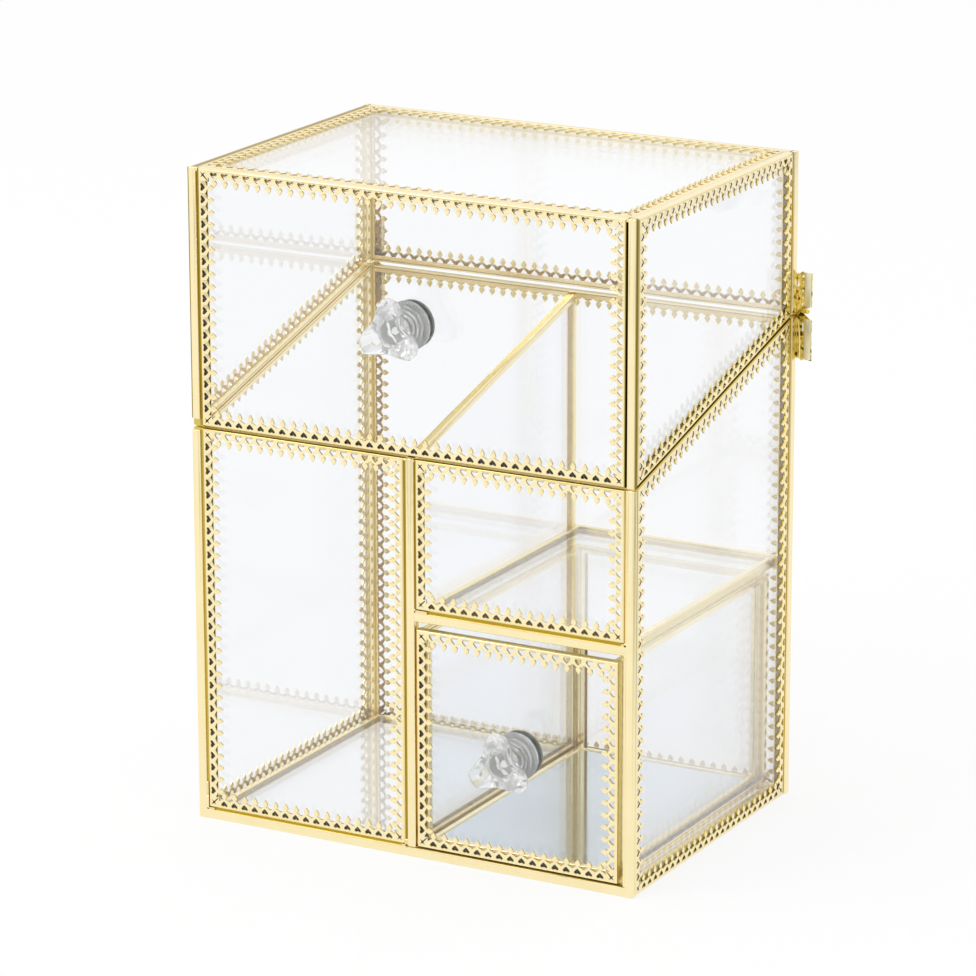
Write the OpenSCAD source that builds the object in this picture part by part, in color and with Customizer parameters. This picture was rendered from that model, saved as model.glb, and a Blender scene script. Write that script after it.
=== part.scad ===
/* [Box] */
// Width of the box across its front
box_w = 230; // [190:1:280]
// Depth of the box from front to back
box_d = 164; // [135:1:200]
// Height of the closed box
box_h = 313; // [280:1:370]
// Height of the lid joint at the front
front_joint_z = 191; // [165:1:205]
// Height of the lid joint at the back
back_joint_z = 236; // [206:1:260]
// Gap between the lid and the base along the joint
joint_gap = 1; // [0.6:0.1:2]

/* [Glass and brass] */
// Thickness of every sheet of glass
glass_t = 3; // [2:0.5:4]
// Thickness of the folded brass edging
brass_t = 0.6; // [0.4:0.1:0.8]
// Width of the inner flange of the edging
flange_w = 3; // [2:0.5:4]
// Gap between a glass edge and the fold of its edging
glass_gap = 0.2; // [0.1:0.1:0.5]
// Width of the plain strips on the posts and rails
strip_w = 5; // [4:0.5:7]
// Thickness of the plain strips
strip_t = 2.2; // [1.8:0.1:3]
// Width of the bright band on the front of a corner post
post_w = 4.2; // [3.4:0.1:4.6]
// Thickness of that band, seen from the side
post_face_t = 0.9; // [0.7:0.1:1.2]
// Width of the groove between a strip and the edging beside it
groove_w = 0.5; // [0.4:0.1:1]
// Depth of that groove
groove_depth = 1.2; // [0.6:0.1:1.4]
// How far the edging lies behind the face of the strips
edging_recess = 0.4; // [0:0.1:0.8]

/* [Lace] */
// Distance from one heart to the next along the lace, before it is evened out
lace_pitch = 5.7; // [5.2:0.1:7]
// Plain length at each end of a side, before its first heart
lace_corner = 5.75; // [5:0.25:8]
// Width of the band that the hearts are cut through
lace_band = 3.5; // [3.2:0.1:4]
// How far the finials reach in from the fold
lace_reach = 8.7; // [7:0.1:10]
// Width of a heart across its lobes
heart_w = 3.3; // [2.6:0.1:3.8]
// Length of a heart from its lobes to its tip
heart_l = 2.6; // [2:0.1:2.8]
// Distance from the fold to the lobes of the hearts
heart_inset = 1.6; // [1.2:0.1:2]
// Width of a finial at its shoulders
finial_w = 2.8; // [2:0.1:3.4]
// Seam between two lengths of edging where they meet at a corner
mitre_gap = 0.04; // [0.02:0.02:0.1]

/* [Compartments] */
// Place of the middle post, from the centre of the front
divider_x = 0; // [-30:1:30]
// Height of the underside of the shelf rail
shelf_z = 114; // [90:1:130]
// Gap between the drawer front and the middle post
drawer_gap_left = 0.7; // [0.5:0.1:2]
// Gap between the drawer front and the right post
drawer_gap_right = 3.2; // [0.5:0.1:4]
// Gap between the top of the drawer and the shelf rail
drawer_gap_top = 3.7; // [1:0.1:6]
// Running gap under the drawer
drawer_gap_floor = 0.3; // [0.2:0.1:1]
// Gap between the back of the drawer and the back of the box
drawer_gap_back = 3.4; // [1:0.1:8]

/* [Hinges] */
// Radius of the hinge pin
pin_r = 0.8; // [0.6:0.1:1.2]
// Clearance between the pin and a knuckle, on the radius
pin_gap = 0.05; // [0.03:0.01:0.1]
// Outer radius of a knuckle
knuckle_r = 1.8; // [1.6:0.1:2.4]
// Thickness of a hinge leaf
leaf_t = 0.8; // [0.6:0.1:1.2]
// Width of a hinge across both wings
leaf_w = 16; // [14:0.5:20]
// Length of the barrel, all three knuckles together
barrel_w = 7.4; // [6:0.2:9]
// Length of the middle knuckle
middle_w = 2.8; // [2:0.2:3.4]
// Height of the leaf on the lid, above the pin
upper_leaf_h = 19; // [15:0.5:24]
// Height of the leaf on the base, below the pin
lower_leaf_h = 23; // [18:0.5:28]
// Clearance between the knuckles and the back of the box
knuckle_gap = 0.3; // [0.2:0.1:0.6]

/* [Knobs] */
// Distance from the glass to the middle of a knob's head
knob_reach = 18; // [16.5:0.5:24]
// Distance from the axis to the tip of each of the three lobes
lobe_r = 16; // [13:0.5:19]
// Thickness of the head at its middle
head_t = 11; // [8:0.5:13]
// Turn of the head about the knob's axis
head_turn = -7; // [-60:1:60]
// Radius of the round foot on the glass
foot_r = 11.5; // [9:0.5:13]
// Radius of the screw
screw_r = 2; // [1.5:0.1:2.5]
// Clearance round the screw, on the radius
screw_gap = 0.1; // [0.05:0.05:0.4]
// Radius of the washer behind the glass
washer_r = 11; // [8:0.2:12]
// Thickness of the washer
washer_t = 1.5; // [1:0.1:2.5]
// Radius of the screw's head
screw_head_r = 4; // [3.5:0.1:5]
// Height of the screw's head
screw_head_h = 2; // [1.5:0.1:3]

/* [Hidden] */
pane_t = glass_t + 2 * brass_t;
half_w = box_w / 2;
half_d = box_d / 2;
rise = (back_joint_z - front_joint_z) / box_d;
wall_x = half_w - edging_recess;
wall_y = half_d - edging_recess;
inner_x = wall_x - pane_t;
inner_y = wall_y - pane_t;
front_x = half_w - strip_w - groove_w;
back_x = half_w - strip_t - groove_w;
side_front_y = -half_d + strip_t + groove_w;
side_back_y = half_d - strip_w - groove_w;
strip_back_y = -half_d + strip_t;
lip_t = strip_t - groove_depth;
foot_lift = 0.2;
floor_top = strip_w;
post_left = divider_x - strip_w / 2;
post_right = divider_x + strip_w / 2;
shelf_top = shelf_z + strip_w;
post_x = half_w - post_w;
pin_y = half_d + knuckle_gap + knuckle_r;
pin_z = joint_z(pin_y);
pin_inset = 0.5;
pin_x = half_w - pin_inset;
knuckle_gap_x = 0.2;
drawer_left = post_right + drawer_gap_left;
drawer_right = half_w - strip_w - drawer_gap_right;
drawer_bottom = floor_top + drawer_gap_floor;
drawer_top = shelf_z - drawer_gap_top;
drawer_back = inner_y - drawer_gap_back;
brass = "#e6cd84";
clear = [0.86, 0.88, 0.9, 0.35];
dark = "#3d403c";
eps = 0.01;

SIDES = ["front_left", "front_right", "back_left", "back_right"];
LID_PANES = ["lid_top", "lid_front", "lid_left", "lid_right", "lid_back"];
BASE_PANES = ["base_front_left", "base_front_right", "base_left", "base_right", "base_back",
    "base_floor", "divider", "shelf"];
DRAWER_PANES = ["drawer_front", "drawer_left", "drawer_right", "drawer_back", "drawer_floor"];
PANES = concat(LID_PANES, BASE_PANES, DRAWER_PANES);
LACED = ["lid_top", "lid_front", "lid_left", "lid_right", "lid_back",
    "base_front_left", "base_front_right", "base_left", "base_right", "base_back", "drawer_front"];

// Height of the middle of the lid joint at a depth
function joint_z(y) = front_joint_z + rise * (y + half_d);
function unit(v) = v / norm(v);
function inward(a, b) = let(t = unit(b - a)) [-t[1], t[0]];
function next(p, i) = p[(i + 1) % len(p)];
function previous(p, i) = p[(i + len(p) - 1) % len(p)];
// A convex outline moved inward by d on every side
function inset(p, d) = [for (i = [0:len(p) - 1])
    let(a = inward(previous(p, i), p[i]), b = inward(p[i], next(p, i)))
    p[i] + (a + b) * d / (1 + a * b)];
function rectangle(left, right, bottom, top) =
    [[left, bottom], [right, bottom], [right, top], [left, top]];
// The lower edge of the lid and the upper edge of the base at a depth
function lid_edge(y) = [y, joint_z(y) + joint_gap / 2];
function base_edge(y) = [y, joint_z(y) - joint_gap / 2];
// A wall whose lower or upper edge follows the lid joint
function above_joint(front, back, top) = [lid_edge(front), lid_edge(back), [back, top], [front, top]];
function below_joint(front, back, bottom) =
    [[front, bottom], [back, bottom], base_edge(back), base_edge(front)];
function flipped(p) = [for (i = [len(p) - 1:-1:0]) [-p[i][0], p[i][1]]];

lid_front_z = lid_edge(-half_d)[1];
lid_back_z = lid_edge(wall_y)[1];
base_front_z = base_edge(-half_d)[1];
base_back_z = base_edge(inner_y)[1];

// Outline of each pane with its edging, in the plane that it stands in
function outline(name) =
    name == "lid_top" ? rectangle(-inner_x, inner_x, -inner_y, inner_y) :
    name == "lid_front" ? rectangle(-front_x, front_x, lid_front_z, box_h) :
    name == "lid_right" ? above_joint(side_front_y, side_back_y, box_h) :
    name == "lid_left" ? flipped(above_joint(side_front_y, side_back_y, box_h)) :
    name == "lid_back" ? rectangle(-back_x, back_x, lid_back_z, box_h) :
    name == "base_front_left" ?
        rectangle(-front_x, post_left - groove_w, strip_w + groove_w, base_front_z) :
    name == "base_front_right" ?
        rectangle(post_right + groove_w, front_x, shelf_top + groove_w, base_front_z) :
    name == "base_right" ? below_joint(side_front_y, side_back_y, foot_lift) :
    name == "base_left" ? flipped(below_joint(side_front_y, side_back_y, foot_lift)) :
    name == "base_back" ? rectangle(-back_x, back_x, foot_lift, base_back_z) :
    name == "base_floor" ? rectangle(-inner_x, inner_x, strip_back_y, inner_y) :
    name == "divider" ? [[strip_back_y, floor_top], [inner_y, floor_top],
        [inner_y, joint_z(inner_y) - joint_gap], [strip_back_y, joint_z(strip_back_y) - joint_gap]] :
    name == "shelf" ? rectangle(divider_x + pane_t / 2, inner_x, strip_back_y, inner_y) :
    name == "drawer_front" ? rectangle(drawer_left, drawer_right, drawer_bottom, drawer_top) :
    name == "drawer_right" ? rectangle(-inner_y, drawer_back, drawer_bottom, drawer_top) :
    name == "drawer_left" ? flipped(rectangle(-inner_y, drawer_back, drawer_bottom, drawer_top)) :
    name == "drawer_back" ?
        rectangle(-drawer_right + pane_t, -drawer_left - pane_t, drawer_bottom, drawer_top) :
    rectangle(drawer_left + pane_t, drawer_right - pane_t, -inner_y, drawer_back - pane_t);

// Where a pane stands: the height or distance of its inner face
function place(name) =
    name == "lid_top" ? [0, 0, box_h - pane_t] :
    name == "base_floor" ? [0, 0, floor_top - pane_t] :
    name == "shelf" ? [0, 0, shelf_top - pane_t] :
    name == "drawer_floor" ? [0, 0, drawer_bottom] :
    name == "divider" ? [divider_x - pane_t / 2, 0, 0] :
    name == "drawer_right" ? [drawer_right - pane_t, 0, 0] :
    name == "drawer_left" ? [drawer_left + pane_t, 0, 0] :
    name == "drawer_back" ? [0, drawer_back - pane_t, 0] :
    faces(name) == "right" ? [inner_x, 0, 0] :
    faces(name) == "left" ? [-inner_x, 0, 0] :
    faces(name) == "back" ? [0, inner_y, 0] : [0, -inner_y, 0];

// The way that the outer face of a pane looks
function among(name, names) = len([for (n = names) if (n == name) n]) > 0;
function faces(name) =
    among(name, ["lid_right", "base_right", "drawer_right", "divider"]) ? "right" :
    among(name, ["lid_left", "base_left", "drawer_left"]) ? "left" :
    among(name, ["lid_back", "base_back", "drawer_back"]) ? "back" :
    among(name, ["lid_top", "base_floor", "shelf", "drawer_floor"]) ? "up" : "front";

// Stands a pane in its place: its own Z runs from the inner face to the outer face
module stand(name) {
    way = faces(name);
    translate(place(name)) rotate(
        way == "up" ? [0, 0, 0] : way == "front" ? [90, 0, 0] :
        way == "back" ? [90, 0, 180] : way == "right" ? [90, 0, 90] : [90, 0, -90]) children();
}

// Middle of the knob on a pane, in the pane's plane
function knob_place(name) =
    name == "lid_front" ? [0, (lid_front_z + box_h) / 2] :
    [(drawer_left + drawer_right) / 2, (drawer_bottom + drawer_top) / 2];
function has_knob(name) = among(name, ["lid_front", "drawer_front"]);

module glass(name) {
    color(clear) stand(name) translate([0, 0, brass_t]) difference() {
        linear_extrude(glass_t) polygon(inset(outline(name), brass_t + glass_gap));
        if (has_knob(name))
            translate([knob_place(name)[0], knob_place(name)[1], -eps])
                cylinder(r = screw_r + screw_gap, h = glass_t + 2 * eps, $fn = 48);
    }
}

// Brass edging folded round the glass: four folded lengths, mitred where they meet at the
// corners. On a wall the outer flange is lace, and inside the box it is plain.
module edging(name) {
    p = outline(name);
    color(brass) stand(name) for (i = [0:len(p) - 1])
        translate(p[i]) rotate(heading(p, i)) difference() {
            folded_length(side_length(p, i), among(name, LACED));
            mitre(p, i);
            translate([side_length(p, i), 0, 0]) mirror([1, 0, 0]) mitre(reversed(p), len(p) - 1 - i);
        }
}

function side_length(p, i) = norm(next(p, i) - p[i]);
function heading(p, i) = let(t = next(p, i) - p[i]) atan2(t[1], t[0]);
// The same corners in mirrored order, so that the end of a side becomes its start
function reversed(p) = [for (i = [len(p):-1:1]) let(q = p[i % len(p)]) [-q[0], q[1]]];

// Removes what lies beyond the mitre at the start of side i
module mitre(p, i) {
    t = unit(next(p, i) - p[i]);
    run = (inset(p, lace_reach)[i] - p[i]) * t;
    translate([mitre_gap / 2, 0, -eps]) linear_extrude(pane_t + 2 * eps)
        polygon([[-run, -lace_reach], [run, lace_reach],
            [-lace_reach, lace_reach], [-2 * lace_reach, -lace_reach]]);
}

// One length of edging, square at both ends
module folded_length(length, laced) {
    cube([length, flange_w, brass_t]);
    cube([length, brass_t, pane_t]);
    translate([0, 0, pane_t - brass_t]) linear_extrude(brass_t)
        if (laced) lace(length); else square([length, flange_w]);
}

// Places of the hearts along a side, evened out between its corners
function hearts(length) = let(run = length - 2 * lace_corner, n = round(run / lace_pitch))
    [for (k = [0:n - 1]) lace_corner + (k + 0.5) * run / n];

// Distances from the fold to the top of an arch and to the shoulders of its finial
arch_d = 0.55 * lace_band + 0.35 * lace_reach;
shoulder_d = 0.45 * lace_band + 0.48 * lace_reach;
neck_w = 1.2;

// The top of the arch over a heart, and on all but the hearts beside a corner its finial
function arch(s, finial) = concat([[s - neck_w / 2, arch_d]],
    finial ? [[s - finial_w / 2, shoulder_d], [s, lace_reach], [s + finial_w / 2, shoulder_d]] : [],
    [[s + neck_w / 2, arch_d]]);

module lace(length) {
    at = hearts(length);
    last = len(at) - 1;
    difference() {
        polygon(concat([[length, 0], [0, 0], [0, lace_band]], [for (k = [0:last]) each concat(
            [[k == 0 ? lace_corner : (at[k - 1] + at[k]) / 2, lace_band]], arch(at[k], k > 0 && k < last))],
            [[length - lace_corner, lace_band], [length, lace_band]]));
        for (s = at) translate([s, heart_inset]) polygon([
            [-heart_w / 2, 0], [0, 0.2 * heart_l], [heart_w / 2, 0], [0, heart_l]]);
    }
}

// A corner post, with a shallow lip towards the pane on each side of it. The lip on
// the front stops where a rail meets the post. The key fills the slot between the two
// panes behind the post, from the height key_bottom up.
module front_post(bottom, top, key_bottom, front_lips) {
    translate([0, 0, bottom]) linear_extrude(top - bottom) polygon([
        [post_x, strip_back_y], [post_x, -half_d], [half_w, -half_d], [half_w, -half_d + post_face_t],
        [wall_x - groove_depth, -half_d + post_face_t], [wall_x - groove_depth, side_front_y],
        [inner_x, side_front_y], [inner_x, strip_back_y]]);
    for (l = front_lips)
        front_lip(front_x, post_x + eps, l[0], l[1]);
    translate([front_x, strip_back_y - eps, key_bottom])
        cube([inner_x - front_x, pane_t + edging_recess - strip_t + eps, top - key_bottom]);
}

module back_post(bottom, top) {
    translate([0, 0, bottom]) linear_extrude(top - bottom) {
        translate([half_w - strip_t, half_d - strip_w]) square([strip_t, strip_w]);
        translate([half_w - strip_t, side_back_y]) square([lip_t, groove_w + eps]);
        translate([back_x, inner_y]) square([groove_w + eps, pane_t - groove_depth]);
        translate([inner_x, side_back_y]) square([half_w - strip_t - inner_x + eps, inner_y - side_back_y]);
    }
}

module post(body, side) {
    left = side == "front_left" || side == "back_left";
    front = side == "front_left" || side == "front_right";
    color(brass) mirror([left ? 1 : 0, 0, 0]) {
        if (front && body == "lid") front_post(lid_front_z, box_h, lid_front_z, [[lid_front_z, box_h]]);
        if (front && body == "base") front_post(0, base_front_z, shelf_top,
            left ? [[strip_w, base_front_z]] : [[strip_w, shelf_z], [shelf_top, base_front_z]]);
        if (!front && body == "lid") back_post(lid_back_z, box_h);
        if (!front && body == "base") back_post(0, base_back_z);
    }
}

// A flat strip on the front of the base
module front_strip(left, right, bottom, top) {
    translate([left, -half_d, bottom]) cube([right - left, strip_t, top - bottom]);
}

module front_lip(left, right, bottom, top) {
    translate([left, strip_back_y - lip_t, bottom]) cube([right - left, lip_t, top - bottom]);
}

module base_front_rail() {
    color(brass) {
        front_strip(-post_x, post_x, 0, strip_w);
        front_lip(-front_x, post_left - groove_w, strip_w - eps, strip_w + groove_w);
    }
}

module base_middle_post() {
    color(brass) {
        front_strip(post_left, post_right, strip_w, base_front_z);
        front_lip(post_left - groove_w, post_left + eps, strip_w + groove_w, base_front_z);
        front_lip(post_right - eps, post_right + groove_w, shelf_top + groove_w, base_front_z);
    }
}

module shelf_front_rail() {
    color(brass) {
        front_strip(post_right, post_x, shelf_z, shelf_top);
        front_lip(post_right + groove_w, front_x, shelf_top - eps, shelf_top + groove_w);
    }
}

// Stands a hinge part on the pin's axis at both back corners
module at_hinges() {
    for (side = [-1, 1])
        translate([side * pin_x, pin_y, pin_z])
            children();
}

module knuckle(left, right) {
    translate([left, 0, 0]) rotate([0, 90, 0]) cylinder(r = knuckle_r, h = right - left, $fn = 48);
}

module pin_bore() {
    translate([-leaf_w, 0, 0]) rotate([0, 90, 0]) cylinder(r = pin_r + pin_gap, h = 2 * leaf_w, $fn = 48);
}

wing_w = leaf_w / 2;
wing_lift = 0.9;
wing_band = 0.48 * wing_w;
hole_r = 0.6;
middle_knuckle = middle_w / 2;
outer_knuckle = barrel_w / 2;

// One wing of a leaf h high, from the middle of the hinge outward: a plain band at its outer
// edge and pierced scrolls beside it, which end in three leaf points
module wing(h) {
    slot_left = 0.38 * wing_w;
    slot_right = wing_w - wing_band - 0.4;
    difference() {
        polygon([[0, wing_lift], [0.45 * wing_w, wing_lift], [wing_w, 0.16 * h], [wing_w, h],
            [wing_w - wing_band, h - 0.6], [0.38 * wing_w, h + 0.3], [0.24 * wing_w, h - 1.6],
            [0.1 * wing_w, h - 0.5], [0, h - 1.8]]);
        children();
        polygon([[slot_left, 0.14 * h], [slot_right, 0.2 * h], [slot_right + 0.2, 0.38 * h],
            [slot_left + 0.2, 0.4 * h]]);
    }
}

// The piercings between the scrolls of a lid leaf
module scroll_piercings(h) {
    polygon([[0.5, 0.6 * h], [1.7, 0.66 * h], [1.4, 0.82 * h], [0.5, 0.8 * h]]);
    polygon([[0.5, 0.3 * h], [1.2, 0.34 * h], [1.9, 0.55 * h], [0.5, 0.55 * h]]);
    for (z = [0.54, 0.75, 0.9])
        translate([wing_w - wing_band - 0.5, z * h]) circle(r = hole_r, $fn = 24);
}

module tongue_piercings(h) {
    translate([0.36 * wing_w, 0.52 * h]) circle(r = hole_r, $fn = 24);
    polygon([[0.4, 0.24 * h], [0.9, 0.28 * h], [0.9, 0.5 * h], [0.4, 0.5 * h]]);
}

module leaf(h, lid_leaf) {
    translate([0, -knuckle_r - knuckle_gap + leaf_t, 0]) rotate([90, 0, 0]) linear_extrude(leaf_t)
        for (side = [0, 1]) mirror([side, 0]) wing(h)
            if (lid_leaf) scroll_piercings(h); else tongue_piercings(h);
}

module upper_hinge_leaves() {
    color(brass) at_hinges() difference() {
        union() {
            leaf(upper_leaf_h, true);
            knuckle(middle_knuckle + knuckle_gap_x, outer_knuckle);
            knuckle(-outer_knuckle, -middle_knuckle - knuckle_gap_x);
        }
        pin_bore();
        middle_relief();
    }
}

// Space round the other leaf's knuckles
module middle_relief() {
    translate([-middle_knuckle - knuckle_gap_x, 0, 0]) rotate([0, 90, 0])
        cylinder(r = knuckle_r + knuckle_gap, h = 2 * (middle_knuckle + knuckle_gap_x), $fn = 48);
}

module outer_relief() {
    for (side = [-1, 1])
        translate([side * (middle_knuckle + outer_knuckle) / 2, 0, 0]) rotate([0, 90, 0])
            cylinder(r = knuckle_r + knuckle_gap, h = outer_knuckle - middle_knuckle + 2 * knuckle_gap_x,
                center = true, $fn = 48);
}

module lower_hinge_leaves() {
    color(brass) at_hinges() difference() {
        union() {
            mirror([0, 0, 1]) leaf(lower_leaf_h, false);
            knuckle(-middle_knuckle, middle_knuckle);
        }
        pin_bore();
        outer_relief();
    }
}

module hinge_pins() {
    ball_r = 1.5 * pin_r;
    ball_x = outer_knuckle + ball_r + 0.05;
    // Where the ball meets the pin, measured round the ball from its widest ring
    meet = acos(pin_r / ball_r);
    end = [for (k = [0:8]) let(a = -90 + k * (90 + meet) / 8)
        [ball_r * cos(a), -ball_x + ball_r * sin(a)]];
    color(brass) at_hinges() rotate([0, 90, 0]) rotate_extrude($fn = 48)
        polygon(concat(end, [for (k = [8:-1:0]) [end[k][0], -end[k][1]]]));
}

// Puts a knob part on its pane: its own Z runs outward from the inner face of the glass
module on_knob(name) {
    stand(name) translate([knob_place(name)[0], knob_place(name)[1], brass_t]) children();
}

neck_r = 0.52 * foot_r;
screw_depth = 0.55 * knob_reach;
screw_end_gap = 0.5;
foot_rim_t = 1.4;
ring_rise = 1.1;

// The round foot and neck: a rim on the glass, then turned rings that get smaller
module knob_stem() {
    waist = 0.9 * neck_r;
    rotate_extrude($fn = 64) polygon(concat(
        [[0, 0], [foot_r, 0], [foot_r, foot_rim_t], [0.9 * foot_r, foot_rim_t + ring_rise]],
        [for (k = [1:3]) let(z = foot_rim_t + (2 * k - 1) * ring_rise, r = foot_r * (0.88 - 0.1 * k))
            each [[r - 0.6, z + 0.2], [r, z + ring_rise], [r - 0.3, z + 1.6 * ring_rise]]],
        [[waist, foot_rim_t + 7.2 * ring_rise], [waist, knob_reach], [0, knob_reach]]));
}

// One lobe of the head, from the hollow before it: share of its reach and angle from its tip
lobe = [[0.57, -60], [0.72, -25], [0.9, -13], [1, 0], [0.9, 13], [0.72, 25]];
head_outline = [for (turn = [90, 210, 330], q = lobe) let(a = turn + head_turn + q[1])
    lobe_r * q[0] * [cos(a), sin(a)]];
head_table = 0.62;

// The head, cut to a smaller flat table on both faces
module knob_head() {
    for (face = [0, 1])
        mirror([0, 0, face]) linear_extrude(head_t / 2, scale = head_table) polygon(head_outline);
}

module knob() {
    color([0.95, 0.96, 0.98, 0.6]) translate([0, 0, glass_t]) difference() {
        union() {
            knob_stem();
            translate([0, 0, knob_reach]) knob_head();
        }
        translate([0, 0, -eps])
            cylinder(r = screw_r + screw_gap, h = screw_depth + screw_end_gap, $fn = 48);
    }
}

module knob_screw() {
    slot_w = 0.2 * screw_head_r;
    color(brass) {
        translate([0, 0, -washer_t])
            cylinder(r = screw_r, h = washer_t + glass_t + screw_depth, $fn = 48);
        translate([0, 0, -washer_t - screw_head_h]) difference() {
            cylinder(r = screw_head_r, h = screw_head_h, $fn = 48);
            translate([-screw_head_r, -slot_w / 2, -eps])
                cube([2 * screw_head_r, slot_w, screw_head_h / 2]);
        }
    }
}

module knob_washer() {
    color(dark) translate([0, 0, -washer_t]) difference() {
        cylinder(r = washer_r, h = washer_t, $fn = 64);
        translate([0, 0, -eps]) cylinder(r = screw_r + screw_gap, h = washer_t + 2 * eps, $fn = 48);
    }
}

for (p = PANES) {
    glass(p);
    edging(p);
}
for (s = SIDES, body = ["lid", "base"])
    post(body, s);
base_front_rail();
base_middle_post();
shelf_front_rail();
upper_hinge_leaves();
lower_hinge_leaves();
hinge_pins();
on_knob("lid_front") knob();  // lid_knob
on_knob("lid_front") knob_screw();  // lid_knob_screw
on_knob("lid_front") knob_washer();  // lid_knob_washer
on_knob("drawer_front") knob();  // drawer_knob
on_knob("drawer_front") knob_screw();  // drawer_knob_screw
on_knob("drawer_front") knob_washer();  // drawer_knob_washer
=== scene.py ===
import bpy
import numpy as np
from mathutils import Euler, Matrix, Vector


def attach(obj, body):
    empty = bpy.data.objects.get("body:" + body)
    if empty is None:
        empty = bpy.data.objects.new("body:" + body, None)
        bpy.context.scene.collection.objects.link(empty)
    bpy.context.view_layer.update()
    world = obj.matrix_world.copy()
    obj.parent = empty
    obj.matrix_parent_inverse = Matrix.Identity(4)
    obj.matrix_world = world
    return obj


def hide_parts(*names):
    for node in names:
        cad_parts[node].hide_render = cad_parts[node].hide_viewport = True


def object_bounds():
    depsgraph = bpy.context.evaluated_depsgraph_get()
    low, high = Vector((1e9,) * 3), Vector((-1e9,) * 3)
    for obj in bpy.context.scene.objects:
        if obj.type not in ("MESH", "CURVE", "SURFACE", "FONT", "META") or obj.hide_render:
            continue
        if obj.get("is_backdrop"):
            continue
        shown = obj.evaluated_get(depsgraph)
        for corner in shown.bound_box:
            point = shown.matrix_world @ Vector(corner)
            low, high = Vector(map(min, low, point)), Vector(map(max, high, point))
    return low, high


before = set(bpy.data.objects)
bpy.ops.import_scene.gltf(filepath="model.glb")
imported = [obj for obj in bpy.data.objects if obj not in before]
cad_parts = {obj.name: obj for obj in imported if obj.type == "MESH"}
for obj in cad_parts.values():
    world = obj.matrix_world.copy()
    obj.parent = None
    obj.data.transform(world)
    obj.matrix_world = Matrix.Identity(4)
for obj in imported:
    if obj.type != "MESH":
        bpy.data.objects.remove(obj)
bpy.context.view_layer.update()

# ---------------------------------------------------------------------------------------
# The studio: a long lens a little above the box, a pale sweep under it and soft panels
# of light round it. The brass is polished, so what stands round it is what it shows.
# ---------------------------------------------------------------------------------------


class Wire:
    """One output of a shader tree. Arithmetic on it adds Math nodes, node() adds any other."""

    def __init__(self, tree, socket=None):
        self.tree, self.socket = tree, socket

    def node(self, kind, settings={}, sockets={}, output=0):
        made = self.tree.nodes.new(kind)
        for name, value in settings.items():
            if name == "stops":
                for place in range(len(value) - 2):
                    made.color_ramp.elements.new(0.5)
                for stop, (place, colour) in zip(made.color_ramp.elements, value):
                    stop.position, stop.color = place, colour
            else:
                setattr(made, name, value)
        for name, value in sockets.items():
            if isinstance(value, Wire):
                self.tree.links.new(value.socket, made.inputs[name])
            else:
                made.inputs[name].default_value = value
        return Wire(self.tree, made.outputs[output] if made.outputs else None)

    def math(self, operation, *values):
        return self.node("ShaderNodeMath", {"operation": operation}, dict(enumerate(values)))

    def __add__(self, other):
        return self.math("ADD", self, other)

    def __sub__(self, other):
        return self.math("SUBTRACT", self, other)

    def __rsub__(self, other):
        return self.math("SUBTRACT", other, self)

    def __mul__(self, other):
        return self.math("MULTIPLY", self, other)

    def __pow__(self, other):
        return self.math("POWER", self, other)

    __radd__, __rmul__ = __add__, __mul__


camera = bpy.data.objects.new("camera", bpy.data.cameras.new("camera"))
camera.location = (1.04357, -1.90780, 0.78092)
camera.rotation_euler = Euler(np.radians((73.970, 0.097, 28.744)))
camera.data.lens = 178.9
camera.data.sensor_width = 36
camera.data.clip_end = 20
bpy.context.scene.collection.objects.link(camera)
bpy.context.scene.camera = camera
bpy.context.scene.view_settings.view_transform = "Standard"
bpy.context.scene.cycles.transparent_max_bounces = 40
bpy.context.scene.cycles.max_bounces = 16
bpy.context.scene.cycles.transmission_bounces = 14
bpy.context.scene.cycles.glossy_bounces = 6

# What stands round the box: its azimuth from the front, positive to the right, the half angles
# at which it starts and stops to fade, all in degrees, and the share of the light that it takes
# away. The two with a negative share are bright panels and add light.
FLAGS = ((-2, 5, 16, -0.3), (30, 6, 18, 0.45), (72, 10, 30, 0.7),
         (-66, 12, 32, -0.4), (-110, 8, 26, 0.55), (112, 6, 20, 0.3))


def dimmed(tree, way):
    """Brightness of the room along a direction: 1, times 1 - share within a cone about each flag,
    which the dot product of the two directions fades out between its half angles."""
    bright = 1.0
    for azimuth, narrow, wide, share in FLAGS:
        toward = (np.sin(np.radians(azimuth)), -np.cos(np.radians(azimuth)), 0.0)
        lean = tree.node("ShaderNodeVectorMath", {"operation": "DOT_PRODUCT"},
                         {0: way, 1: toward}, "Value")
        flag = tree.node("ShaderNodeMapRange", sockets={
            0: lean, 1: np.cos(np.radians(wide)), 2: np.cos(np.radians(narrow))})
        bright = bright * (1 - flag * share)
    return bright


world = bpy.data.worlds.new("studio")
bpy.context.scene.world = world
world.use_nodes = True
world.node_tree.nodes.clear()
sky = Wire(world.node_tree)
direction = sky.node("ShaderNodeTexCoord", output="Generated")
height = sky.node("ShaderNodeSeparateXYZ", sockets={0: direction}, output="Z")
seen = sky.node("ShaderNodeLightPath", output="Is Camera Ray")
panel = sky.node("ShaderNodeValToRGB", {"stops": [
    (0.0, (0.9, 0.9, 0.9, 1)), (0.5, (0.65, 0.65, 0.65, 1)), (0.55, (0.8, 0.8, 0.8, 1)),
    (0.61, (1, 1, 1, 1)), (1.0, (0.97, 0.97, 0.97, 1))]}, {0: height * 0.5 + 0.5})
shown = sky.node("ShaderNodeMix", {"data_type": "RGBA"},
                 {0: seen, 6: panel, 7: (1, 1, 1, 1)}, output=2)
strength = seen + (1 - seen) * dimmed(sky, direction) * 1.02
sky.node("ShaderNodeOutputWorld", sockets={
    0: sky.node("ShaderNodeBackground", sockets={0: shown, 1: strength})})


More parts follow.
